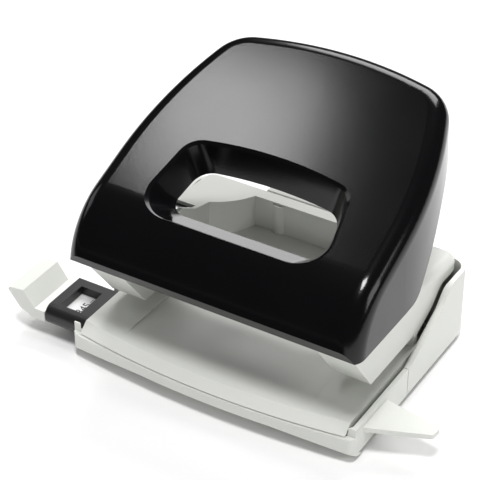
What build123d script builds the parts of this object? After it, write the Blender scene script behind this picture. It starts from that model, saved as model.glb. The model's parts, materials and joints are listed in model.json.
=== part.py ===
from build123d import *
import os
from math import asin, cos, hypot, sin, sqrt

os.makedirs("parts", exist_ok=True)

# Desk hole punch for two holes, in millimetres.
# X runs from left to right, Y from the front to the back and Z up from the desk.
# The model is drawn about the middle plane between the two punches (x = 0) and the line through
# their axes (y = 0), and is moved to the middle of its own footprint when it is written out.

# ---- punching -----------------------------------------------------------------------------
HOLE_SPACING = 80.0          # distance between the two punched holes
PUNCH_DIAMETER = 5.5
PUNCH_HEAD_RADIUS = 3.9
PUNCH_HEAD_THICK = 1.8
PAPER_STOP_Y = 12.0          # hole margin: from the punch axes back to the paper stop
PAPER_GAP = 4.6              # height of the slot that the sheets slide into
RUNNING_FIT = 0.05           # radial clearance of a shaft or pin that moves in its hole

# ---- table and upper housing --------------------------------------------------------------
RING_GAP = 1.15              # the spring's ring is wider than the punch by this, in radius
TABLE_TOP = 12.6
TABLE_THICK = 3.0
TABLE_HALF_WIDTH = 48.4
TABLE_FRONT_Y = -38.0        # front of the table on the middle plane
TABLE_FRONT_BOW = 4.1        # how far the front edge comes forward between its corners
TABLE_BEVEL = 3.2            # depth of the sloping band along the front
RAMP_HALF_WIDTH = 33.6
RAMP_START_Y = -31.0
RAMP_SINK = 2.2
ARM_OUTER = 47.6             # outer face of each arm
ARM_WALL = 1.4
ARM_CLEARANCE = 0.1          # between the spring's ring and the arm's inner wall
ARM_FLOOR = 1.6
ARM_TOP = 33.6
ARM_FRONT_LOW_Y = -16.5      # front of the arm at its underside
ARM_FRONT_TOP_Y = -28.6      # front of the arm at its top, which leans forward
ARM_HOLLOW_TOP = 40.0
HOUSING_REAR_Y = 43.0
SHOULDER_TOP = 31.0          # top of the rear shoulders at the back
SHOULDER_MIDDLE_Y = 26.0
SHOULDER_MIDDLE_RISE = 1.8   # the shoulders rise by this much from the back to their middle
SHOULDER_RISE = 5.0          # and by this much to their front
SHOULDER_EDGE = 3.0          # rounding along the shoulders
CROSS_BLOCK_FRONT_Y = 36.0
CROSS_BLOCK_HALF = 25.0      # half width of the well along the cross block
WELL_SHOULDER_Y = 22.0       # the well narrows from here
WELL_MIDDLE_X = 29.3
WELL_MIDDLE_Y = 27.6
CREST_FRONT_Y = 41.6         # the lower body's back wall is thicker and higher behind the well
CREST_HALF = 24.0
CREST_LOW = 25.0
CREST_ROUND = 0.6
LEDGE_FRONT_Y = 27.0
LEDGE_TOP = 19.6

# ---- lower body and chip tray ---------------------------------------------------------------
BODY_HALF_WIDTH = 51.5
BODY_REAR_Y = 44.6
BODY_WALL = 1.5
BODY_RIM = 12.4              # rim beside the table
BODY_REAR_RIM = 27.4         # rim along the back
RIM_RISE_Y = 3.3             # the rim starts to rise here
RIM_STEEP_Y = 24.7           # and rises more steeply from here
RIM_STEEP_Z = 22.3
RIM_LEVEL_Y = 30.2           # level again from here to the back
RIM_BEND = 5.0               # rounding of the rim's bends
TRAY_SEAM_Y = 1.5            # joint between the tray and the rear skirt
TRAY_FRONT_Y = -38.4
TRAY_LIP = 9.2               # top of the tray's front lip
TRAY_FLOOR = 1.6
TRAY_UNDERCUT = 8.0          # how far the tray's front slopes back to the desk
TRAY_LIP_BAND = 3.6
SEAM_GAP = 0.35
BODY_BASE = 1.0              # underside of the tray and skirt, above the desk
BODY_CORNER = 6.0
TRAY_BASIN_REAR_Y = 24.0     # the basin under the dies reaches back to here
TRAY_BASIN_HALF = 44.0
TRAY_BASIN_TOP = 6.6
TRAY_HINGE_Z = 4.2
TRAY_PIN_RADIUS = 1.2
TONGUE_REACH = 71.5
TONGUE_TOP = 10.4
TONGUE_THICK = 1.7
GROOVE_DEPTH = 2.2
FOOT_RADIUS = 5.0
FOOT_SEAT = 0.6              # depth of the recess that holds each foot

# ---- paper guide -----------------------------------------------------------------------------
STOP_FACE_X = -68.5          # face of the end stop in its innermost setting
RAIL_TRAVEL = 80.0
RAIL_FRONT_Y = -29.6
RAIL_REAR_Y = -14.4
RAIL_LOW = 6.2
RAIL_HIGH = 8.8
RAIL_INNER_END_X = 44.0
STOP_REACH_X = -79.0
STOP_TOP = 16.0
GUIDE_GAP = 0.35             # clearance of the sliding rail
SCALE_WINDOW_X = (-60.8, -52.6)
SCALE_WINDOW_Y = (-27.6, -15.6)

# ---- handle ------------------------------------------------------------------------------------
HINGE_Y = -18.5
HINGE_Z = 30.0
HINGE_RADIUS = 2.0
HANDLE_TOP_REAR = 90.4       # highest point, at the back
HANDLE_REAR_Y = 52.1
HANDLE_HALF_WIDTH = 50.0     # half width of the plan at the highest level
HANDLE_LEAN = 0.038          # the walls spread by this much for each unit down
HANDLE_WALL = 1.9
HANDLE_SLOPE = 0.42          # rise of the top surface for each unit back
HANDLE_SIDE_RADIUS = 120.0   # taper of the sides towards the back, seen from above
HANDLE_REAR_RADIUS = 147.0   # curve of the rear edge, seen from above
HANDLE_STRAIGHT_Y = -4.7     # the sides run straight up to here
HANDLE_CORNER = 15.0         # rear corners, seen from above
HANDLE_FRONT_Y = -36.2
HANDLE_BEND = 27.7           # the front is one arc that runs on into the top
HANDLE_EDGE = 6.0            # rounding all round the top
HANDLE_LOW = 37.8            # lower edge of the side walls
CHAMFER_Y = -35.6            # upper edge of the band along the foot of the front
CHAMFER_Z = 41.8
FOOT_Y = -33.9               # lower edge of that band
FOOT_THICK = 2.5             # the front is thicker along its foot
HEEL_Y = 4.0                 # the lower edge rises from here
HEEL_ROUND = 9.0
KNEE_Y = 32.0                # and flattens again here
KNEE_Z = 61.5
KNEE_ROUND = 40.0
REAR_EDGE_Z = 67.5           # lower edge beyond the back wall
WINDOW_DEPTH = 11.0          # upright depth of the funnel round the finger window
WINDOW_WALL = 2.0
WINDOW_RIM_EDGE = 0.8        # small bevel round the window
# Each pair is the size in the top surface and the size at the bottom of the funnel.
WINDOW_FRONT_Y = (-24.7, -12.7)
WINDOW_REAR_Y = (2.5, 3.3)
WINDOW_FRONT_HALF = (33.4, 27.6)
WINDOW_REAR_HALF = (28.4, 25.0)
WINDOW_BOW = (3.0, 2.0)      # arch of the window's rear edge
WINDOW_FRONT_CORNER = (10.0, 5.0)
WINDOW_REAR_CORNER = (7.0, 7.0)

LEVER_THICK = 4.8
NOSE_RADIUS = 3.0


def side_prism(outline, x_low, x_high):
    """Solid over an outline in Y and Z, between two places across the width."""
    face = Pos(x_low, 0, 0) * (Plane.YZ * make_face(outline))
    return extrude(face, amount=x_high - x_low, dir=(1, 0, 0))


def block(x_low, x_high, y_low, y_high, z_low, z_high):
    """Box between two opposite corners."""
    middle = Pos((x_low + x_high) / 2, (y_low + y_high) / 2, (z_low + z_high) / 2)
    return middle * Box(x_high - x_low, y_high - y_low, z_high - z_low)


def rod_x(radius, x_low, x_high, y, z):
    """Round bar across the width."""
    return Pos((x_low + x_high) / 2, y, z) * Rot(0, 90, 0) * Cylinder(radius, x_high - x_low)


def rod_z(radius, x, y, z_low, z_high):
    """Upright round bar."""
    return Pos(x, y, (z_low + z_high) / 2) * Cylinder(radius, z_high - z_low)


def mirrored(shape):
    """The same piece on the other side of the middle plane."""
    return mirror(shape, about=Plane.YZ)


def both_sides(shape):
    """A piece together with its mirror image."""
    return shape + mirrored(shape)


nodes = {}

PUNCH_X = HOLE_SPACING / 2
PUNCH_RADIUS = PUNCH_DIAMETER / 2
RING_RADIUS = PUNCH_RADIUS + RING_GAP
ARM_INNER = PUNCH_X - RING_RADIUS - ARM_CLEARANCE - ARM_WALL
ARM_UNDERSIDE = TABLE_TOP + PAPER_GAP


# ==== handle =====================================================================================
TOP_AT_PUNCH = HANDLE_TOP_REAR - HANDLE_SLOPE * HANDLE_REAR_Y
WALL_LOW = HINGE_Z           # the walls are drawn from here, before the lower edge is cut
WALL_HIGH = HANDLE_TOP_REAR + 6
FAR_REAR = HANDLE_REAR_Y + 12


def top_height(y):
    """Height of the handle's top surface."""
    return TOP_AT_PUNCH + HANDLE_SLOPE * y


def handle_plan(z, inset):
    """Plan of the handle at one height, moved inwards by an inset."""
    spread = (HANDLE_TOP_REAR - z) * HANDLE_LEAN - inset
    half = HANDLE_HALF_WIDTH + spread
    rear = HANDLE_REAR_Y + spread
    front = HANDLE_FRONT_Y - 10
    side_x = half - HANDLE_SIDE_RADIUS
    rear_y = rear - HANDLE_REAR_RADIUS
    # The side arc and the rear arc meet at a corner, which is then rounded.
    apart = hypot(side_x, HANDLE_STRAIGHT_Y - rear_y)
    along = (apart ** 2 + HANDLE_REAR_RADIUS ** 2 - HANDLE_SIDE_RADIUS ** 2) / (2 * apart)
    across = sqrt(HANDLE_REAR_RADIUS ** 2 - along ** 2)
    ux, uy = side_x / apart, (HANDLE_STRAIGHT_Y - rear_y) / apart
    corner_x = ux * along + uy * across
    corner_y = rear_y + uy * along - ux * across
    turn = asin((corner_y - HANDLE_STRAIGHT_Y) / HANDLE_SIDE_RADIUS) / 2
    bulge_x = side_x + HANDLE_SIDE_RADIUS * cos(turn)
    bulge_y = HANDLE_STRAIGHT_Y + HANDLE_SIDE_RADIUS * sin(turn)
    outline = Line((-half, front), (half, front)) + ThreePointArc(
        (corner_x, corner_y), (0, rear), (-corner_x, corner_y))
    for side in (-1, 1):
        straight = (side * half, HANDLE_STRAIGHT_Y)
        outline += Line((side * half, front), straight)
        outline += ThreePointArc(straight, (side * bulge_x, bulge_y), (side * corner_x, corner_y))
    face = make_face(outline)
    corners = face.vertices().filter_by_position(Axis.Y, corner_y - 0.1, corner_y + 0.1)
    return Pos(0, 0, z) * fillet(corners, HANDLE_CORNER - inset)


def handle_body(inset):
    """The handle as one rounded block, moved inwards by an inset."""
    walls = loft([handle_plan(WALL_LOW, inset), handle_plan(WALL_HIGH, inset)], ruled=True)
    front = HANDLE_FRONT_Y + inset
    drop = inset * hypot(1, HANDLE_SLOPE)
    bend_at = (front, top_height(front) - drop)
    profile = make_face(Polyline((front, WALL_LOW - 1), bend_at, (FAR_REAR, top_height(FAR_REAR) - drop),
                                 (FAR_REAR, WALL_LOW - 1), close=True))
    bend = profile.vertices().sort_by_distance(bend_at)[0]
    solid = walls & wide_prism(fillet(bend, HANDLE_BEND - inset))
    edges = []
    for face in solid.faces():
        normal = face.normal_at(face.center())
        if abs(normal.X) < 0.01 and (normal.Z > 0.5 or normal.Y < -0.9):
            # The long edges across the front run on smoothly and are left alone.
            edges += [edge for edge in face.edges()
                      if abs(edge.tangent_at(0.5).X) < 0.999 or edge.center().Y > HEEL_Y]
    return fillet(edges, HANDLE_EDGE - inset)


def wide_prism(face):
    """Profile in Y and Z swept right across the machine."""
    return extrude(Plane.YZ * face, amount=BODY_HALF_WIDTH + 10, dir=(1, 0, 0), both=True)


def below_handle():
    """Everything under the handle's lower edge, with the sloping band at the front."""
    outline = make_face(Polyline(
        (HANDLE_FRONT_Y - 5, CHAMFER_Z), (CHAMFER_Y, CHAMFER_Z), (FOOT_Y, HANDLE_LOW), (HEEL_Y, HANDLE_LOW),
        (KNEE_Y, KNEE_Z), (FAR_REAR, REAR_EDGE_Z), (FAR_REAR, WALL_LOW - 2),
        (HANDLE_FRONT_Y - 5, WALL_LOW - 2),
        close=True))
    outline = fillet(outline.vertices().sort_by_distance((HEEL_Y, HANDLE_LOW))[0], HEEL_ROUND)
    return wide_prism(fillet(outline.vertices().sort_by_distance((KNEE_Y, KNEE_Z))[0], KNEE_ROUND))


def window_outline(depth, grow):
    """Outline of the finger window on a plane parallel to the top, made larger by grow."""
    def size(pair):
        return pair[0] + (pair[1] - pair[0]) * depth / WINDOW_DEPTH

    stretch = hypot(1, HANDLE_SLOPE)
    front_y, rear_y = size(WINDOW_FRONT_Y) * stretch, size(WINDOW_REAR_Y) * stretch
    front_half, rear_half = size(WINDOW_FRONT_HALF), size(WINDOW_REAR_HALF)
    bow = size(WINDOW_BOW) * stretch
    outline = Line((-front_half, front_y), (front_half, front_y))
    outline += ThreePointArc((rear_half, rear_y), (0, rear_y + bow), (-rear_half, rear_y))
    for side in (-1, 1):
        outline += Line((side * front_half, front_y), (side * rear_half, rear_y))
    face = make_face(outline)
    face = fillet(face.vertices().group_by(Axis.Y)[0], size(WINDOW_FRONT_CORNER))
    rear = face.vertices().filter_by_position(Axis.Y, rear_y - 0.1, rear_y + 0.1)
    face = fillet(rear, size(WINDOW_REAR_CORNER))
    if grow:
        face = offset(face, grow)
    level = Plane(origin=(0, 0, TOP_AT_PUNCH - depth), x_dir=(1, 0, 0), z_dir=(0, -HANDLE_SLOPE, 1))
    return level * face


def window_funnel(depth_high, grow_high, depth_low, grow_low):
    """Tapering plug of the finger window between two depths."""
    return loft([window_outline(depth_high, grow_high), window_outline(depth_low, grow_low)], ruled=True)


outer = handle_body(0) - below_handle()
window_wall = window_funnel(-1, WINDOW_WALL, WINDOW_DEPTH, WINDOW_WALL) & outer
window_opening = window_funnel(-1, 0, WINDOW_DEPTH + 1, 0)
window_bevel = window_funnel(-WINDOW_RIM_EDGE, 2 * WINDOW_RIM_EDGE,
                             1.5 * WINDOW_RIM_EDGE, -WINDOW_RIM_EDGE / 2)
foot_outline = Polyline((HANDLE_FRONT_Y, HANDLE_LOW), (FOOT_Y + FOOT_THICK, HANDLE_LOW),
                        (FOOT_Y + FOOT_THICK, HANDLE_LOW + 2), (FOOT_Y, HANDLE_LOW + 6),
                        (HANDLE_FRONT_Y, HANDLE_LOW + 6), close=True)
foot = side_prism(foot_outline, -BODY_HALF_WIDTH - 10, BODY_HALF_WIDTH + 10) & outer
BOSS_RADIUS = 3.2
PAD_TOP = 63.8               # top of the pads that the levers are screwed to the handle by
PAD_THICK = 2.0
PAD_SCREW_Y = (15.0, 23.0)
SCREW_RADIUS = 1.0
bosses = Part() + [rod_z(BOSS_RADIUS, side * PUNCH_X, y, PAD_TOP, top_height(y - BOSS_RADIUS) - 0.6)
                   for side in (-1, 1) for y in PAD_SCREW_Y]
boss_holes = Part() + [rod_z(SCREW_RADIUS, side * PUNCH_X, y, PAD_TOP, PAD_TOP + 5)
                       for side in (-1, 1) for y in PAD_SCREW_Y]
cover = outer - handle_body(HANDLE_WALL) + window_wall + foot + bosses - boss_holes
nodes["handle_cover"] = cover - window_opening - window_bevel

# The two levers hang from the handle and turn on pins in the punch frames.
NOSE_Z = 44.5
BAR_Y, BAR_Z = 12.0, 58.0
BAR_RADIUS = 2.5
LEVER_REAR_Y = 27.0
lever_outline = Polyline(
    (-22.0, 31.5), (-22.0, 44.0), (-12.0, 56.0), (0.0, PAD_TOP), (LEVER_REAR_Y, PAD_TOP),
    (LEVER_REAR_Y, PAD_TOP - PAD_THICK), (17.0, PAD_TOP - PAD_THICK), (15.0, 54.0), (NOSE_RADIUS, NOSE_Z),
    (0, NOSE_Z - NOSE_RADIUS + 0.6), (-6.0, NOSE_Z - 1.2), (-14.5, 38.0), (-14.5, 31.5), close=True)


def lever(side):
    """Steel lever of one punch, between the ears of its frame."""
    x_low, x_high = PUNCH_X - LEVER_THICK / 2, PUNCH_X + LEVER_THICK / 2
    arm = side_prism(lever_outline, x_low, x_high)
    arm += rod_x(4.0, x_low, x_high, HINGE_Y, HINGE_Z)
    arm += rod_x(NOSE_RADIUS, x_low, x_high, 0, NOSE_Z)
    arm += block(PUNCH_X - 4, PUNCH_X + 4, 11, LEVER_REAR_Y, PAD_TOP - PAD_THICK, PAD_TOP)
    arm -= rod_x(HINGE_RADIUS + RUNNING_FIT, x_low, x_high, HINGE_Y, HINGE_Z)
    arm -= rod_x(BAR_RADIUS, x_low, x_high, BAR_Y, BAR_Z)
    for y in PAD_SCREW_Y:
        arm -= rod_z(SCREW_RADIUS, PUNCH_X, y, PAD_TOP - PAD_THICK, PAD_TOP)
    # The heads of the lever screws sit in a pocket that is cut into the lever.
    for y in PAD_SCREW_Y:
        arm -= rod_z(SCREW_RADIUS * 2 + 0.2, PUNCH_X, y, PAD_TOP - PAD_THICK - 12, PAD_TOP - PAD_THICK)
    return arm if side > 0 else mirrored(arm)


def screw(x, y, z_head, length, radius):
    """Pan-head screw driven upwards, with its head below z_head."""
    shape = rod_z(radius, x, y, z_head, z_head + length)
    shape += rod_z(radius * 1.9, x, y, z_head - radius * 1.2, z_head)
    reach = radius * 1.3
    slot = block(x - reach, x + reach, y - 0.25, y + 0.25, z_head - radius * 1.2, z_head - radius * 0.7)
    cross = Pos(x, y, 0) * Rot(0, 0, 90) * Pos(-x, -y, 0) * slot
    return shape - slot - cross


nodes["lever_left"] = lever(-1)
nodes["lever_right"] = lever(1)
BAR_HALF = PUNCH_X + LEVER_THICK / 2
nodes["lever_cross_bar"] = rod_x(BAR_RADIUS, -BAR_HALF, BAR_HALF, BAR_Y, BAR_Z)
nodes["lever_screws"] = Part() + [screw(side * PUNCH_X, y, PAD_TOP - PAD_THICK, 6.0, SCREW_RADIUS)
                                  for side in (-1, 1) for y in PAD_SCREW_Y]

# ==== punching units =============================================================================
FRAME_HALF = PUNCH_RADIUS + 0.95
FRAME_SCREW_Y = 9.3
FRAME_SHEET = 1.2
FRAME_FLOOR = ARM_UNDERSIDE + ARM_FLOOR + 0.1
FRAME_BRIDGE = 32.0          # underside of the bridge over the spring
FRAME_WEB_Y = PAPER_STOP_Y + 2.1
FRAME_LEG_TOP = TABLE_TOP - TABLE_THICK - 0.2
FRAME_LEG_THICK = 1.6
DIE_RADIUS = 5.0
SEAT_GAP = 0.05
CLIP_Z = 30.2
PUNCH_TIP = ARM_UNDERSIDE + 0.2
HEAD_LOW = NOSE_Z - NOSE_RADIUS - 0.1 - PUNCH_HEAD_THICK


def punch_frame():
    """Bent steel frame: bridge and floor that guide the punch, web, die leg and hinge ears."""
    x_low, x_high = PUNCH_X - FRAME_HALF, PUNCH_X + FRAME_HALF
    web_rear = FRAME_WEB_Y + FRAME_SHEET
    frame = block(x_low, x_high, -14.2, web_rear, FRAME_FLOOR, FRAME_FLOOR + FRAME_SHEET)
    leg_low = FRAME_LEG_TOP - FRAME_LEG_THICK
    frame += block(x_low, x_high, FRAME_WEB_Y, web_rear, leg_low, FRAME_BRIDGE + FRAME_SHEET)
    frame += block(x_low, x_high, -5, web_rear, FRAME_BRIDGE, FRAME_BRIDGE + FRAME_SHEET)
    frame += block(x_low, x_high, -8, web_rear, leg_low, FRAME_LEG_TOP)
    ear_outline = Polyline((-14.2, FRAME_FLOOR), (-7, FRAME_FLOOR), (-7, 26), (-14.3, HINGE_Z),
                           (-22.2, HINGE_Z), close=True)
    for ear_x in (x_low, x_high - FRAME_SHEET):
        frame += side_prism(ear_outline, ear_x, ear_x + FRAME_SHEET)
        frame += rod_x(4.2, ear_x, ear_x + FRAME_SHEET, HINGE_Y, HINGE_Z)
    frame -= rod_x(HINGE_RADIUS, x_low, x_high, HINGE_Y, HINGE_Z)
    frame -= rod_z(PUNCH_RADIUS + RUNNING_FIT, PUNCH_X, 0, FRAME_FLOOR, FRAME_BRIDGE + FRAME_SHEET)
    frame -= rod_z(PUNCH_RADIUS + 0.6, PUNCH_X, 0, leg_low, FRAME_LEG_TOP)
    frame -= rod_z(SCREW_RADIUS, PUNCH_X, FRAME_SCREW_Y, leg_low, FRAME_LEG_TOP)
    return frame


def punch_pin():
    """Punch with its head and a hollow-ground, V-shaped cutting end."""
    pin = rod_z(PUNCH_RADIUS, PUNCH_X, 0, PUNCH_TIP, HEAD_LOW)
    pin += rod_z(PUNCH_HEAD_RADIUS, PUNCH_X, 0, HEAD_LOW, HEAD_LOW + PUNCH_HEAD_THICK)
    notch = Polyline((-PUNCH_RADIUS, PUNCH_TIP), (0, PUNCH_TIP + 1.4), (PUNCH_RADIUS, PUNCH_TIP), close=True)
    return pin - side_prism(notch, PUNCH_X - PUNCH_RADIUS, PUNCH_X + PUNCH_RADIUS)


def punch_clip():
    """Ring that carries the spring."""
    ring = rod_z(RING_RADIUS, PUNCH_X, 0, CLIP_Z, CLIP_Z + 0.8)
    return ring - rod_z(PUNCH_RADIUS, PUNCH_X, 0, CLIP_Z, CLIP_Z + 0.8)


SPRING_WIRE = 0.35
SPRING_RADIUS = 3.3
SPRING_TURNS = 5
SPRING_LOW = FRAME_FLOOR + FRAME_SHEET


def punch_spring():
    """Compression spring between the frame's floor and the ring on the punch."""
    rise = CLIP_Z - SPRING_LOW - 2 * SPRING_WIRE
    helix = Helix(rise / SPRING_TURNS, rise, SPRING_RADIUS)
    start = Plane(helix @ 0, z_dir=helix % 0)
    coil = sweep(start * Circle(SPRING_WIRE), path=helix, is_frenet=True)
    return Pos(PUNCH_X, 0, SPRING_LOW + SPRING_WIRE) * coil


def die():
    """Hardened ring under the punch, flush with the table."""
    ring = rod_z(DIE_RADIUS, PUNCH_X, 0, FRAME_LEG_TOP, TABLE_TOP)
    ring -= rod_z(PUNCH_RADIUS + RUNNING_FIT, PUNCH_X, 0, FRAME_LEG_TOP, TABLE_TOP)
    return ring - rod_z(PUNCH_RADIUS + 0.4, PUNCH_X, 0, FRAME_LEG_TOP, TABLE_TOP - 1.6)


unit = {
    "punch_frame": punch_frame(),
    "punch": punch_pin(),
    "punch_clip": punch_clip(),
    "punch_spring": punch_spring(),
    "die_ring": die(),
    "hinge_pin": rod_x(HINGE_RADIUS, PUNCH_X - FRAME_HALF, PUNCH_X + FRAME_HALF, HINGE_Y, HINGE_Z),
}
for name, shape in unit.items():
    nodes[name + "_left"] = mirrored(shape)
    nodes[name + "_right"] = shape
nodes["frame_screws"] = both_sides(screw(PUNCH_X, FRAME_SCREW_Y, FRAME_LEG_TOP - FRAME_LEG_THICK, 4.2, 0.9))

# ==== upper housing ==============================================================================
TABLE_LOW = TABLE_TOP - TABLE_THICK


def bowed_plan(half, front_y, bow, rear_y):
    """Plan with a bowed front edge; front_y is on the middle plane."""
    corner_y = front_y + bow
    outline = ThreePointArc((-half, corner_y), (0, front_y), (half, corner_y))
    outline += Polyline((half, corner_y), (half, rear_y), (-half, rear_y), (-half, corner_y))
    return make_face(outline)


def rim_line(drop, y_start, y_end):
    """Rim of the lower body in Y and Z: level, rising, then level along the back."""
    low, high = BODY_RIM - drop, BODY_REAR_RIM - drop
    line = FilletPolyline((y_start, low), (RIM_RISE_Y, low), (RIM_STEEP_Y, RIM_STEEP_Z - drop),
                          (RIM_LEVEL_Y, high), (y_end, high), radius=RIM_BEND)
    return line, low, high


def under_rim(drop, y_start, y_end, z_low):
    """Everything below the rim line."""
    line, low, high = rim_line(drop, y_start, y_end)
    closing = Polyline((y_end, high), (y_end, z_low), (y_start, z_low), (y_start, low))
    return side_prism(line + closing, -70, 70)


def shoulder_profile(inset):
    """Side outline of the housing's rear, above the rim line."""
    top = SHOULDER_TOP - inset
    rear = HOUSING_REAR_Y - inset
    front = PAPER_STOP_Y + inset
    floor = TABLE_LOW - inset * 9
    arc = ThreePointArc((rear, top), (SHOULDER_MIDDLE_Y, top + SHOULDER_MIDDLE_RISE),
                        (front, top + SHOULDER_RISE))
    rest = Polyline((front, top + SHOULDER_RISE), (front, floor), (rear, floor), (rear, top))
    return arc + rest


def well_plan(grow):
    """Plan of the open well between the shoulders."""
    half, front, back = ARM_INNER + grow, PAPER_STOP_Y - 1, CROSS_BLOCK_FRONT_Y + grow
    shoulder_y = WELL_SHOULDER_Y + grow
    block_half = CROSS_BLOCK_HALF + grow
    middle_x, middle_y = WELL_MIDDLE_X + grow, WELL_MIDDLE_Y + grow
    outline = Line((-half, front), (half, front)) + Line((block_half, back), (-block_half, back))
    for side in (-1, 1):
        outline += Line((side * half, front), (side * half, shoulder_y))
        outline += ThreePointArc((side * half, shoulder_y), (side * middle_x, middle_y),
                                 (side * block_half, back))
    return make_face(outline)


def well(grow):
    """The space of the well, down to its sloping floor."""
    start = TABLE_TOP - RAMP_SINK - grow
    ledge = LEDGE_TOP - grow
    floor = Polyline((PAPER_STOP_Y - 1, start), (PAPER_STOP_Y + 2, start), (LEDGE_FRONT_Y, ledge - 1.2),
                     (LEDGE_FRONT_Y, ledge), (60, ledge), (60, 80), (PAPER_STOP_Y - 1, 80), close=True)
    plan = extrude(well_plan(grow), amount=90, dir=(0, 0, 1))
    return plan & side_prism(floor, -60, 60)


def arm_profile(inset):
    """Side outline of an arm, whose front face leans forward."""
    lean = (ARM_FRONT_TOP_Y - ARM_FRONT_LOW_Y) / (ARM_TOP - ARM_UNDERSIDE)
    low = ARM_UNDERSIDE + inset
    front_shift = inset * hypot(1, lean)
    top = ARM_TOP + (10 if inset else 0)
    rear_top = ARM_HOLLOW_TOP + (10 if inset else 0)
    rear = PAPER_STOP_Y + (4 if inset else 1)
    rear_edge = rear_top - (0 if inset else ARM_HOLLOW_TOP - SHOULDER_TOP - SHOULDER_RISE)
    return Polyline((ARM_FRONT_LOW_Y + lean * inset + front_shift, low), (rear, low), (rear, rear_edge),
                    (6, rear_top),
                    (-15, rear_top), (-22, top),
                    (ARM_FRONT_LOW_Y + lean * (top - ARM_UNDERSIDE) + front_shift, top),
                    close=True)


table_low = Pos(0, 0, TABLE_LOW) * bowed_plan(
    TABLE_HALF_WIDTH, TABLE_FRONT_Y, TABLE_FRONT_BOW, PAPER_STOP_Y + 2)
table_high = Pos(0, 0, TABLE_TOP) * bowed_plan(
    TABLE_HALF_WIDTH, TABLE_FRONT_Y + TABLE_BEVEL, TABLE_FRONT_BOW + 0.3, PAPER_STOP_Y + 2)
table = loft([table_low, table_high], ruled=True)
ramp = Polyline((RAMP_START_Y, TABLE_TOP), (PAPER_STOP_Y, TABLE_TOP - RAMP_SINK),
                (PAPER_STOP_Y + 3, TABLE_TOP - RAMP_SINK), (PAPER_STOP_Y + 3, TABLE_TOP + 1),
                (RAMP_START_Y, TABLE_TOP + 1), close=True)
table -= side_prism(ramp, -RAMP_HALF_WIDTH, RAMP_HALF_WIDTH)

rear = side_prism(shoulder_profile(0), -ARM_OUTER, ARM_OUTER)
rear = fillet(rear.edges().filter_by(Axis.Z).group_by(Axis.Y)[-1], BODY_CORNER - BODY_WALL)
top_edges = [edge for edge in rear.edges() if edge.center().Z > SHOULDER_TOP - 0.1 and edge.center().Y > 20]
rear = fillet(top_edges, SHOULDER_EDGE)
outer_walls_only = block(-70, 70, PAPER_STOP_Y + 2.5, 70, -10, 80) - block(
    -ARM_OUTER + 1.6, ARM_OUTER - 1.6, 0, HOUSING_REAR_Y - 1.6, -10, 80)
rear -= under_rim(1.6, -60, 70, -5) & outer_walls_only
rear_hollow = side_prism(shoulder_profile(1.6), -ARM_OUTER + 1.6, ARM_OUTER - 1.6) - well(1.6)
rear = rear - rear_hollow - well(0)

arm = side_prism(arm_profile(0), ARM_INNER, ARM_OUTER)
arm_hollow = side_prism(arm_profile(ARM_FLOOR), ARM_INNER + ARM_WALL, ARM_OUTER - ARM_WALL)
arm_opening = block(ARM_INNER - 1, ARM_INNER + ARM_WALL + 1, -14, 6, ARM_UNDERSIDE + 3.2, ARM_TOP - 4)
arm_openings = arm_hollow + arm_opening + rod_z(PUNCH_RADIUS + 0.3, PUNCH_X, 0, TABLE_LOW, ARM_UNDERSIDE + 3)

RIB_WIDTH = 2.6
RIB_FRONT_Y = RAIL_FRONT_Y - GUIDE_GAP
RIB_REAR_Y = RAIL_REAR_Y + GUIDE_GAP
RIB_LOW = RAIL_LOW - GUIDE_GAP
CHANNEL_HALF = 46.0
ribs = block(-CHANNEL_HALF, CHANNEL_HALF, RIB_FRONT_Y - RIB_WIDTH, RIB_FRONT_Y, RIB_LOW, TABLE_LOW)
ribs += block(-CHANNEL_HALF, CHANNEL_HALF, RIB_REAR_Y, RIB_REAR_Y + RIB_WIDTH, RIB_LOW, TABLE_LOW)
CHANNEL_SCREWS = [(x, y) for x in (-38.0, 38.0) for y in (RIB_FRONT_Y - 0.9, RIB_REAR_Y + RIB_WIDTH / 2)]
for x, y in CHANNEL_SCREWS:
    ribs -= rod_z(0.8, x, y, RIB_LOW, RIB_LOW + 3)

BASE_SCREWS = [(x, y) for x in (-42.0, -16.0, 16.0, 42.0) for y in (37.5,)]
COLUMN_FOOT = BODY_BASE + TRAY_FLOOR + 2.0
columns = Part() + [rod_z(2.6, x, y, COLUMN_FOOT, SHOULDER_TOP - 0.3) for x, y in BASE_SCREWS]
column_holes = Part() + [rod_z(1.1, x, y, COLUMN_FOOT, COLUMN_FOOT + 9) for x, y in BASE_SCREWS]

rear -= block(-CREST_HALF - SEAM_GAP, CREST_HALF + SEAM_GAP, CREST_FRONT_Y - SEAM_GAP, BODY_REAR_Y,
              CREST_LOW - SEAM_GAP, SHOULDER_TOP + 1)
housing = table + rear + both_sides(arm) - both_sides(arm_openings) + ribs + columns - column_holes
housing -= both_sides(rod_z(DIE_RADIUS + SEAT_GAP, PUNCH_X, 0, TABLE_LOW, TABLE_TOP))
housing -= both_sides(rod_z(0.9, PUNCH_X, FRAME_SCREW_Y, TABLE_LOW, TABLE_LOW + 2.6))
nodes["upper_housing"] = housing

# ==== lower body and chip tray ===================================================================
def body_plan(inset):
    """Plan of the lower body with a bowed front and rounded rear corners."""
    face = bowed_plan(BODY_HALF_WIDTH - inset, TRAY_FRONT_Y + inset, TABLE_FRONT_BOW, BODY_REAR_Y - inset)
    rear_corners = face.vertices().group_by(Axis.Y)[-1]
    face = fillet(rear_corners, BODY_CORNER - inset)
    return fillet(face.vertices().group_by(Axis.Y)[0], 2.6)


def body_solid(inset, z_low, z_high):
    return extrude(Pos(0, 0, z_low) * body_plan(inset), amount=z_high - z_low, dir=(0, 0, 1))


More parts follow.
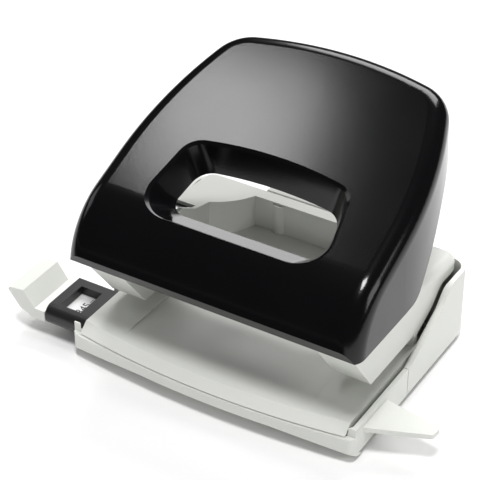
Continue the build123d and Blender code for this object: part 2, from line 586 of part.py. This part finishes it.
FLANGE_INNER = TABLE_HALF_WIDTH + 0.3
body_outer = body_solid(0, BODY_BASE, 40)
body_outer = fillet(body_outer.edges().group_by(Axis.Z)[0], 1.6)
body_outer &= under_rim(0, -60, 70, -5)
body_inner = body_solid(BODY_WALL, BODY_BASE - 1, 41)
groove_flange = (body_solid(BODY_WALL / 2, BODY_BASE, 40) & under_rim(GROOVE_DEPTH, -60, 70, -5)) \
    - under_rim(GROOVE_DEPTH + 1.2, -60, 70, -6) \
    - block(-FLANGE_INNER, FLANGE_INNER, -60, HOUSING_REAR_Y + 0.4, -5, 60)
wall_ring = body_outer - body_inner + groove_flange

skirt_zone = block(-70, 70, TRAY_SEAM_Y + SEAM_GAP / 2, 70, -5, 60)
tray_zone = block(-70, 70, -60, TRAY_SEAM_Y - SEAM_GAP / 2, -5, 60)
floor_plate = body_solid(BODY_WALL / 2, BODY_BASE, BODY_BASE + TRAY_FLOOR)
skirt_floor = floor_plate & block(-70, 70, TRAY_BASIN_REAR_Y + 4, 70, -5, 60)
posts = Part() + [rod_z(3.4, x, y, BODY_BASE, COLUMN_FOOT) for x, y in BASE_SCREWS]
LUG_INNER = TRAY_BASIN_HALF + 0.4
LUG_THICK = 2.4
lug = block(LUG_INNER, LUG_INNER + LUG_THICK, TRAY_BASIN_REAR_Y - 2.8, TRAY_BASIN_REAR_Y + 6,
            BODY_BASE, TRAY_HINGE_Z + 2.8)
crest = block(-CREST_HALF, CREST_HALF, CREST_FRONT_Y, BODY_REAR_Y, CREST_LOW, SHOULDER_TOP)
crest = fillet(crest.edges().group_by(Axis.Z)[-1], CREST_ROUND)
skirt = (wall_ring & skirt_zone) + skirt_floor + posts + both_sides(lug) + crest
for x, y in BASE_SCREWS:
    skirt -= rod_z(1.15, x, y, BODY_BASE, COLUMN_FOOT)
    skirt -= rod_z(2.4, x, y, BODY_BASE, BODY_BASE + 1.6)
skirt -= both_sides(rod_x(TRAY_PIN_RADIUS, LUG_INNER, LUG_INNER + LUG_THICK, TRAY_BASIN_REAR_Y, TRAY_HINGE_Z))
REAR_FEET = [(-38.0, 31.5), (38.0, 31.5)]
TRAY_FEET = [(-38.0, -22.0), (38.0, -22.0)]
for x, y in REAR_FEET:
    skirt -= rod_z(FOOT_RADIUS + 0.1, x, y, BODY_BASE, BODY_BASE + FOOT_SEAT)
nodes["base_skirt"] = skirt

FRAME_LEFT_X = -64.2
FRAME_REAR_Y = -12.1
FRAME_FRONT_Y = -31.6
undercut = Polyline((-60, BODY_BASE + 4.6), (TRAY_FRONT_Y + 0.9, BODY_BASE + 4.6),
                    (TRAY_FRONT_Y + TRAY_UNDERCUT, BODY_BASE), (TRAY_FRONT_Y + TRAY_UNDERCUT, -5), (-60, -5),
                    close=True)
tray = wall_ring & tray_zone
front_floor = floor_plate & tray_zone
basin_outer = block(-TRAY_BASIN_HALF, TRAY_BASIN_HALF, -2, TRAY_BASIN_REAR_Y - 3.2, BODY_BASE, TRAY_BASIN_TOP)
BASIN_INNER_HALF = TRAY_BASIN_HALF - 1.6
basin_inner = block(-BASIN_INNER_HALF, BASIN_INNER_HALF, -3, TRAY_BASIN_REAR_Y - 4.8,
                    BODY_BASE + TRAY_FLOOR, 30)
tray = tray + front_floor + basin_outer - basin_inner
slope_wall = Polyline((TRAY_FRONT_Y + 0.9, BODY_BASE + 4.6), (TRAY_FRONT_Y + TRAY_UNDERCUT, BODY_BASE),
                      (TRAY_FRONT_Y + TRAY_UNDERCUT + 1.9, BODY_BASE), (TRAY_FRONT_Y + 2.8, BODY_BASE + 4.6),
                      close=True)
tray += side_prism(slope_wall, -60, 60) & body_solid(0, BODY_BASE, 40)
tray -= side_prism(undercut, -70, 70)
tray -= block(-70, 70, -60, TRAY_FRONT_Y + TABLE_FRONT_BOW + 1.6, TRAY_LIP, 60)
tray -= block(-TABLE_HALF_WIDTH - 0.3, TABLE_HALF_WIDTH + 0.3, -60, 10, TRAY_LIP, 60)
tray -= block(-70, -46, FRAME_FRONT_Y - 0.6, FRAME_REAR_Y + 1.8, 3.6, 60)
KNUCKLE_RADIUS = 2.6
KNUCKLE_INNER = TRAY_BASIN_HALF - 7
knuckle = rod_x(KNUCKLE_RADIUS, KNUCKLE_INNER, TRAY_BASIN_HALF, TRAY_BASIN_REAR_Y, TRAY_HINGE_Z)
knuckle += block(KNUCKLE_INNER, TRAY_BASIN_HALF, TRAY_BASIN_REAR_Y - 4, TRAY_BASIN_REAR_Y,
                 TRAY_HINGE_Z - 2, TRAY_HINGE_Z + 2)
knuckle -= rod_x(TRAY_PIN_RADIUS + RUNNING_FIT, KNUCKLE_INNER - 1, TRAY_BASIN_HALF + 1,
                 TRAY_BASIN_REAR_Y, TRAY_HINGE_Z)
tongue_outline = Polyline((BODY_HALF_WIDTH - 1, -28.5), (TONGUE_REACH - 0.6, -20.4), (TONGUE_REACH, -16.0),
                          (BODY_HALF_WIDTH - 1, -12.6), close=True)
tongue_face = make_face(tongue_outline)
tongue_corners = tongue_face.vertices().group_by(Axis.X)
tongue_face = fillet(tongue_corners[-1] + tongue_corners[-2], 1.2)
tongue = extrude(Pos(0, 0, TONGUE_TOP - TONGUE_THICK) * tongue_face, amount=TONGUE_THICK, dir=(0, 0, 1))
tray = tray + both_sides(knuckle) + tongue
for x, y in TRAY_FEET:
    tray -= rod_z(FOOT_RADIUS + 0.1, x, y, BODY_BASE, BODY_BASE + FOOT_SEAT)
nodes["chip_tray"] = tray


def feet(places):
    return Part() + [rod_z(FOOT_RADIUS, x, y, 0, BODY_BASE + FOOT_SEAT) for x, y in places]


nodes["rear_feet"] = feet(REAR_FEET)
nodes["tray_feet"] = feet(TRAY_FEET)
nodes["tray_hinge_pins"] = both_sides(
    rod_x(TRAY_PIN_RADIUS, KNUCKLE_INNER, LUG_INNER + LUG_THICK, TRAY_BASIN_REAR_Y, TRAY_HINGE_Z))
nodes["base_screws"] = Part() + [screw(x, y, BODY_BASE + 1.6, 9.0, 1.1) for x, y in BASE_SCREWS]

# ==== paper guide ================================================================================
FRAME_RIGHT_X = -TABLE_HALF_WIDTH - SEAT_GAP
FRAME_TOP = TABLE_TOP - 0.3
FRAME_LOW = RAIL_LOW - GUIDE_GAP - 0.9
window_frame = block(FRAME_LEFT_X, FRAME_RIGHT_X, FRAME_FRONT_Y, FRAME_REAR_Y, FRAME_LOW, FRAME_TOP)
front_edges = [edge for edge in window_frame.edges() if abs(edge.center().Y - FRAME_FRONT_Y) < 0.01
               and abs(edge.tangent_at(0.5).X) > 0.9]
window_frame = fillet(front_edges, 3.4)
window_frame -= block(-80, 0, RAIL_FRONT_Y - GUIDE_GAP, RAIL_REAR_Y + GUIDE_GAP,
                      RAIL_LOW - GUIDE_GAP, RAIL_HIGH + 0.5)
window_frame -= block(*SCALE_WINDOW_X, *SCALE_WINDOW_Y, RAIL_HIGH, FRAME_TOP + 1)
nodes["scale_window_frame"] = window_frame

stop_outline = Polyline(
    (-64.6, RAIL_LOW), (-69.0, RAIL_LOW), (-74.6, RAIL_LOW + 2.2), (STOP_REACH_X, STOP_TOP - 1.8),
    (STOP_REACH_X + 0.6, STOP_TOP - 0.8), (STOP_FACE_X - 4.2, STOP_TOP), (STOP_FACE_X, RAIL_HIGH + 1.4),
    (-64.6, RAIL_HIGH + 1.4), close=True)
stop_face = Plane.XZ * make_face(stop_outline)
STOP_WIDTH = FRAME_REAR_Y - FRAME_FRONT_Y - 0.6
end_stop = extrude(Pos(0, FRAME_REAR_Y - 0.4, 0) * stop_face, amount=STOP_WIDTH, dir=(0, -1, 0))
rail = block(-66.0, RAIL_INNER_END_X, RAIL_FRONT_Y, RAIL_REAR_Y, RAIL_LOW, RAIL_HIGH)
nodes["guide_rail"] = rail + end_stop
nodes["scale_label"] = block(-64.0, 30.0, -27.8, -15.4, RAIL_HIGH, RAIL_HIGH + 0.15)
cover_plate = block(-CHANNEL_HALF, CHANNEL_HALF, RIB_FRONT_Y - RIB_WIDTH, RIB_REAR_Y + RIB_WIDTH,
                    RIB_LOW - 1.2, RIB_LOW)
for x, y in CHANNEL_SCREWS:
    cover_plate -= rod_z(0.85, x, y, RIB_LOW - 1.2, RIB_LOW)
nodes["rail_channel_cover"] = cover_plate
nodes["channel_screws"] = Part() + [screw(x, y, RIB_LOW - 1.2, 3.8, 0.8) for x, y in CHANNEL_SCREWS]

# ==== writing out ================================================================================
footprint = Compound(children=[Compound(shape.wrapped) for shape in nodes.values()]).bounding_box()
place = Pos(-(footprint.min.X + footprint.max.X) / 2, -(footprint.min.Y + footprint.max.Y) / 2, 0)
print("moved by", place.position)
for name, shape in nodes.items():
    export_step(place * shape, f"parts/{name}.step")
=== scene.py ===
# %% [markdown]
# # A desk hole punch, dressed for a studio shot
# The punch comes in as a fixed frame: thirty moulded, pressed and turned pieces that already have
# their right size and place. This lesson gives each of them its finish, adds the printed scale marks
# that are finer than a machined solid, and sets up a small studio around them.
# Everything is in metres, with +Z up and the desk at z = 0.

# %% Load the frame
import json

import bpy
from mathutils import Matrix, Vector


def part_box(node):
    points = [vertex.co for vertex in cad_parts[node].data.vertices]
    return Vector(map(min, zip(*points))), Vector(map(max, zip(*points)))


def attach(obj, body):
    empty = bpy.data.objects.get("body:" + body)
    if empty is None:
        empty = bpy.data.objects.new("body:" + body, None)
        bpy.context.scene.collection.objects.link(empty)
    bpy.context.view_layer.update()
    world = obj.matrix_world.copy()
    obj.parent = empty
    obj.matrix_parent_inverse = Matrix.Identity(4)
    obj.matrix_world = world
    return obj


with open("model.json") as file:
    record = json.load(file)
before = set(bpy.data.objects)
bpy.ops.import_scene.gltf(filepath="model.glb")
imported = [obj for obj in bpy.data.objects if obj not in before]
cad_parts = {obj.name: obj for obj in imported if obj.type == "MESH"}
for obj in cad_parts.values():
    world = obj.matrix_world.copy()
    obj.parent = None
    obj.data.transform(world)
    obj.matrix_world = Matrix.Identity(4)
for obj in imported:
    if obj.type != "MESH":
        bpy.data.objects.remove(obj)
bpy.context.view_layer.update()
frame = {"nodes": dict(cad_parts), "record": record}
nodes = frame["nodes"]
print("frame pieces:", len(nodes))

# %% [markdown]
# ## Reference lines
# Two lines are enough to place everything: the middle plane between the punches, and the line
# through the punch axes. Both are read from the frame, so nothing is fitted afterwards.

# %% The middle plane and the punch line
MM = 0.001
QUARTER_TURN = 1.5708


def middle_of(node):
    """Centre of a frame piece's box."""
    low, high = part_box(node)
    return [(a + b) / 2 for a, b in zip(low, high)]


MID_X = middle_of("handle_cover")[0]
PUNCH_Y = middle_of("punch_right")[1]
print("middle plane x:", round(MID_X, 5), " punch line y:", round(PUNCH_Y, 5))


def place(x, y, z):
    """A point in millimetres from the middle plane, the punch line and the desk, as a Vector."""
    return Vector((MID_X + x * MM, PUNCH_Y + y * MM, z * MM))


# %% [markdown]
# ## The camera
# A long lens from well above the desk keeps the punch's long edges nearly parallel, as a catalogue
# picture does. The camera is aimed with a track quaternion, so it needs no constraint.

# %% Camera
camera_data = bpy.data.cameras.new("studio_camera")
camera_data.lens = 135
camera_data.sensor_width = 36
camera_data.clip_start = 0.01
camera = bpy.data.objects.new("studio_camera", camera_data)
bpy.context.scene.collection.objects.link(camera)
camera.location = place(235.36, -398.65, 362.54)
aim = place(-11.64, 4.33, 36.81) - camera.location
camera.rotation_euler = aim.to_track_quat("-Z", "Y").to_euler()
bpy.context.scene.camera = camera
print("camera distance in mm:", round(aim.length / MM))

# %% [markdown]
# ## Arithmetic for shaders
# A finish is easier to read as a formula than as a pile of nodes. `Wire` holds one output socket and
# turns +, - and * into Math nodes; every other node is added by its `node` method, which sets the
# node's own settings first and then its inputs.

# %% The Wire class
class Wire:
    """One output of a shader node, usable in ordinary arithmetic."""

    def __init__(self, tree, socket=None):
        self.tree = tree
        self.socket = socket

    def node(self, kind, settings=None, inputs=None, output=0):
        """Add a node with its settings and inputs, and return one of its outputs."""
        new = self.tree.nodes.new(kind)
        for name, value in (settings or {}).items():
            if name == "stops":
                set_stops(new.color_ramp, value)
            else:
                setattr(new, name, value)
        for name, value in (inputs or {}).items():
            self.feed(new.inputs[name], value)
        return Wire(self.tree, new.outputs[output])

    def feed(self, socket, value):
        """Link a wire to an input, or set the input's own value."""
        if isinstance(value, Wire):
            self.tree.links.new(value.socket, socket)
        else:
            socket.default_value = value

    def maths(self, operation, first, second=0.0):
        return self.node("ShaderNodeMath", {"operation": operation}, {0: first, 1: second})

    def __add__(self, other):
        return self.maths("ADD", self, other)

    def __radd__(self, other):
        return self.maths("ADD", other, self)

    def __sub__(self, other):
        return self.maths("SUBTRACT", self, other)

    def __rsub__(self, other):
        return self.maths("SUBTRACT", other, self)

    def __mul__(self, other):
        return self.maths("MULTIPLY", self, other)

    def __rmul__(self, other):
        return self.maths("MULTIPLY", other, self)


def set_stops(ramp, stops):
    """Give a colour ramp its stops: (position, grey or colour) pairs."""
    while len(ramp.elements) < len(stops):
        ramp.elements.new(0.5)
    for element, (position, tone) in zip(ramp.elements, stops):
        element.position = position
        element.color = (tone, tone, tone, 1) if isinstance(tone, float) else (*tone, 1)


def start_finish(name, **constants):
    """A new material: its empty Wire, its shader node, and the shader's constant values set."""
    material = bpy.data.materials.new(name)
    material.use_nodes = True
    shader = material.node_tree.nodes["Principled BSDF"]
    for label, value in constants.items():
        shader.inputs[label.replace("_", " ")].default_value = value
    return material, Wire(material.node_tree), shader


# %% [markdown]
# ## Shared ingredients
# Moulded plastic is never one flat tone. Two things break it up: the fine spark-eroded grain of the
# mould, and slow differences in tone and gloss where the melt flowed.
# All of them read Object coordinates, which every piece has.

# %% Grain, clouds and bump
def object_place(wire):
    """Object coordinates, in metres."""
    return wire.node("ShaderNodeTexCoord", output="Object")


def noise(wire, size_mm, detail=2.0, roughness=0.5):
    """Noise from 0 to 1 whose lumps are about size_mm across."""
    inputs = {"Vector": object_place(wire), "Scale": 1000.0 / size_mm,
              "Detail": detail, "Roughness": roughness}
    return wire.node("ShaderNodeTexNoise", inputs=inputs, output="Fac")


def grain(wire, size_mm):
    """Small rounded pits, as a spark-eroded mould leaves them."""
    inputs = {"Vector": object_place(wire), "Scale": 1000.0 / size_mm}
    return wire.node("ShaderNodeTexVoronoi", {"feature": "SMOOTH_F1"}, inputs, output="Distance")


def bump(wire, height, depth_mm, strength=1.0):
    """Turn a height from 0 to 1 into a normal; depth_mm is the height of 1."""
    inputs = {"Height": height, "Distance": depth_mm * MM, "Strength": strength}
    return wire.node("ShaderNodeBump", inputs=inputs, output="Normal")


def blend_tones(wire, mask, first, second):
    """Mix two colours by a mask."""
    inputs = {"Factor": mask, 6: (*first, 1), 7: (*second, 1)}
    return wire.node("ShaderNodeMix", {"data_type": "RGBA"}, inputs, output=2)


# %% [markdown]
# ## Moulded plastics
# The handle is black with a fine satin grain; here the grain covers its smoother side walls as well as
# its top and front. The housing and the tray are a warm light grey. One function makes all of them,
# because they differ only in tone, grain size and gloss.

# %% Plastic finishes
def plastic(name, dark, light, grain_mm, grain_depth_mm, gloss_low, gloss_high, **constants):
    """Moulded plastic with clouded tone, uneven gloss and a fine grain."""
    material, wire, shader = start_finish(name, **constants)
    clouds = noise(wire, 22.0, 3.0)
    speckle = noise(wire, 0.7, 2.0)
    wire.feed(shader.inputs["Base Color"], blend_tones(wire, clouds * 0.7 + speckle * 0.3, dark, light))
    patchy = clouds * 0.6 + speckle * 0.4
    wire.feed(shader.inputs["Roughness"], gloss_low + (gloss_high - gloss_low) * patchy)
    height = grain(wire, grain_mm) * 0.6 + noise(wire, grain_mm * 0.7) * 0.4
    wire.feed(shader.inputs["Normal"], bump(wire, height, grain_depth_mm, 0.5))
    return material


finishes = {
    "handle_plastic": plastic("handle_plastic", (0.0025, 0.0025, 0.0030), (0.0040, 0.0040, 0.0045),
                              0.55, 0.020, 0.13, 0.19, Specular_IOR_Level=0.32),
    "black_plastic": plastic("black_plastic", (0.008, 0.008, 0.009), (0.014, 0.014, 0.015),
                             0.5, 0.02, 0.34, 0.46),
    "housing_plastic": plastic("housing_plastic", (0.67, 0.68, 0.645), (0.72, 0.73, 0.69),
                               0.5, 0.012, 0.42, 0.55),
    "tray_plastic": plastic("tray_plastic", (0.68, 0.69, 0.655), (0.73, 0.74, 0.70),
                            0.5, 0.012, 0.40, 0.52),
}
print("plastics:", len(finishes))

# %% [markdown]
# ## Metals, rubber and paper
# The pressed frames are zinc plated, which shows as faint spangles; pins, punches and dies are
# ground with fine rings round their axes, drawn here only as the same fine scratches as every steel;
# springs and screws are darker wire and plating.

# %% Metal, rubber and label finishes
def metal(name, dark, light, spangle_mm, gloss_low, gloss_high):
    """Steel whose tone and gloss vary in small patches."""
    material, wire, shader = start_finish(name, Metallic=1.0)
    patches = noise(wire, spangle_mm, 3.0)
    scratches = noise(wire, 0.35, 3.0, 0.7)
    wire.feed(shader.inputs["Base Color"], blend_tones(wire, patches, dark, light))
    wire.feed(shader.inputs["Roughness"], gloss_low + (gloss_high - gloss_low) * patches)
    wire.feed(shader.inputs["Normal"], bump(wire, scratches, 0.01, 0.3))
    return material


def soft_finish(name, dark, light, grain_mm, depth_mm, gloss):
    """Rubber or paper: matt, with a visible grain."""
    material, wire, shader = start_finish(name)
    grains = noise(wire, grain_mm, 4.0)
    wire.feed(shader.inputs["Base Color"], blend_tones(wire, grains, dark, light))
    wire.feed(shader.inputs["Roughness"], gloss - 0.1 * grains)
    wire.feed(shader.inputs["Normal"], bump(wire, grains, depth_mm, 0.4))
    return material


finishes["zinc_steel"] = metal("zinc_steel", (0.48, 0.49, 0.50), (0.62, 0.63, 0.64), 3.0, 0.28, 0.42)
finishes["bright_steel"] = metal("bright_steel", (0.60, 0.60, 0.61), (0.70, 0.70, 0.71), 1.6, 0.16, 0.26)
finishes["spring_steel"] = metal("spring_steel", (0.40, 0.40, 0.41), (0.52, 0.52, 0.53), 1.2, 0.24, 0.34)
finishes["screw_steel"] = metal("screw_steel", (0.46, 0.46, 0.44), (0.60, 0.60, 0.58), 1.4, 0.26, 0.38)
finishes["rubber"] = soft_finish("rubber", (0.02, 0.02, 0.02), (0.04, 0.04, 0.04), 0.6, 0.05, 0.85)
finishes["label"] = soft_finish("label", (0.82, 0.82, 0.82), (0.88, 0.88, 0.87), 0.4, 0.01, 0.6)
print("finishes:", sorted(finishes))

# %% [markdown]
# ## Dressing the frame's own pieces
# The record names a finish for each piece, so one loop dresses them all.

# %% Give every frame piece its finish
for part in frame["record"]["subparts"]:
    piece = nodes[part["node"]]
    piece.data.materials.clear()
    piece.data.materials.append(finishes[part["material_slot"]])

# %% [markdown]
# ## A clean selection
# Every tool works on what is selected, so each piece starts by letting go of the one before it.

# %% Deselect
def clear_selection():
    for other in bpy.context.selected_objects:
        other.select_set(False)


# %% [markdown]
# ## The printed scale
# The guide's strip carries a row of fine ticks and a three-figure number where its window shows it.
# The ticks are one thin bar, made once and copied, each copy with its own mesh; the number is typed,
# turned into a mesh and laid on the strip. Both ride with the rail.

# %% Ticks and number on the strip
def settle(piece):
    """Apply place, turn and scale, so that the piece's origin is the frame's."""
    clear_selection()
    piece.select_set(True)
    bpy.context.view_layer.objects.active = piece
    bpy.ops.object.transform_apply(location=True, rotation=True, scale=True)


ink = soft_finish("print_ink", (0.012, 0.012, 0.012), (0.02, 0.02, 0.02), 0.5, 0.005, 0.7)
label_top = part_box("scale_label")[1][2]
window_low, window_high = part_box("scale_window_frame")
window_x = (window_low[0] + window_high[0]) / 2 + 0.6 * MM
window_y = (window_low[1] + window_high[1]) / 2
TICK_COUNT = 15
TICK_STEP = 5.0 * MM
TICK_SIZE = (0.25 * MM, 2.0 * MM, 0.06 * MM)
TICK_ROW_Y = window_y + 4.6 * MM

clear_selection()
bpy.ops.mesh.primitive_cube_add(size=1.0, location=(window_x, TICK_ROW_Y, label_top + 0.02 * MM))
tick = bpy.context.object
tick.name = "scale_tick"
tick.scale = TICK_SIZE
settle(tick)
tick.data.materials.append(ink)
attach(tick, "rail")
ticks = [tick]
for step in range(1, TICK_COUNT):
    copy = tick.copy()
    copy.data = tick.data.copy()
    copy.name = f"scale_tick_{step:02d}"
    bpy.context.scene.collection.objects.link(copy)
    copy.location = (step * TICK_STEP, 0, 0)
    settle(copy)
    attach(copy, "rail")
    ticks.append(copy)

clear_selection()
bpy.ops.object.text_add(location=(window_x, window_y, label_top))
number = bpy.context.object
number.name = "scale_number"
number.data.body = "345"
number.data.align_x = "CENTER"
number.data.align_y = "CENTER"
number.data.size = 4.2 * MM
number.data.extrude = 0.03 * MM
number.rotation_euler = (0, 0, QUARTER_TURN)
bpy.ops.object.convert(target="MESH")
number = bpy.context.object
settle(number)
number.data.materials.append(ink)
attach(number, "rail")
print("ticks:", len(ticks), " number faces:", len(number.data.polygons))

# %% [markdown]
# ## The studio
# A wide pale floor, a small box above on the left that glows in the handle's top, a large one behind
# that reaches in under the handle, one high in front that leaves the table's depth in shade, and a
# weak one on each side. Glossy black moulding shows whatever it faces, so a
# black card lies on the floor in front, where only reflections can see it, and keeps the front dark.

# %% Floor and black card
def flat_sheet(name, centre, width, depth, tone, gloss):
    """A rectangular sheet that belongs to the studio."""
    clear_selection()
    bpy.ops.mesh.primitive_plane_add(size=1.0, location=centre)
    sheet = bpy.context.object
    sheet.name = name
    sheet.scale = (width, depth, 1)
    bpy.ops.object.transform_apply(location=False, rotation=False, scale=True)
    finish, wire, shader = start_finish(name + "_paper", Roughness=gloss)
    shader.inputs["Base Color"].default_value = (tone, tone, tone, 1)
    sheet.data.materials.append(finish)
    return sheet


floor = flat_sheet("floor", (0, 0, 0), 6.0, 6.0, 0.9, 0.9)
card = flat_sheet("black_card", (-0.45, -0.60, 0.003), 1.1, 1.0, 0.001, 1.0)
card.visible_camera = False
card.visible_diffuse = False
card.visible_shadow = False
card.visible_transmission = False
print("sheets:", floor.name, card.name)

# %% Lights
def soft_light(name, position, target, width, height, watts):
    """A rectangular soft box aimed at a point."""
    data = bpy.data.lights.new(name, "AREA")
    data.shape = "RECTANGLE"
    data.size = width
    data.size_y = height
    data.energy = watts
    light = bpy.data.objects.new(name, data)
    bpy.context.scene.collection.objects.link(light)
    light.location = position
    light.rotation_euler = (Vector(target) - Vector(position)).to_track_quat("-Z", "Y").to_euler()
    light.visible_camera = False
    return light


soft_light("handle_glow", (-0.292, 0.09, 0.60), (-0.292, 0.09, 0.0), 0.12, 0.10, 0.55)
soft_light("back_box", (-0.15, 0.75, 0.75), (0.0, 0.02, 0.04), 0.7, 0.5, 8.0)
soft_light("front_top_box", (0.10, -0.25, 1.05), (0.0, -0.04, 0.03), 0.25, 0.25, 7.0)
soft_light("right_box", (0.80, 0.05, 0.40), (0.0, 0.0, 0.03), 0.4, 0.3, 1.5)
soft_light("left_box", (-0.80, -0.10, 0.40), (0.0, 0.0, 0.03), 0.4, 0.3, 0.6)

world = bpy.data.worlds.new("studio")
bpy.context.scene.world = world
world.use_nodes = True
sky = Wire(world.node_tree)
to_camera = sky.node("ShaderNodeLightPath", output="Is Camera Ray")
to_gloss = sky.node("ShaderNodeLightPath", output="Is Glossy Ray")
background = world.node_tree.nodes["Background"]
sky.feed(background.inputs["Color"], (1, 1, 1, 1))
sky.feed(background.inputs["Strength"], 0.32 + 0.68 * to_camera - 0.29 * to_gloss)
bpy.context.scene.view_settings.view_transform = "Standard"
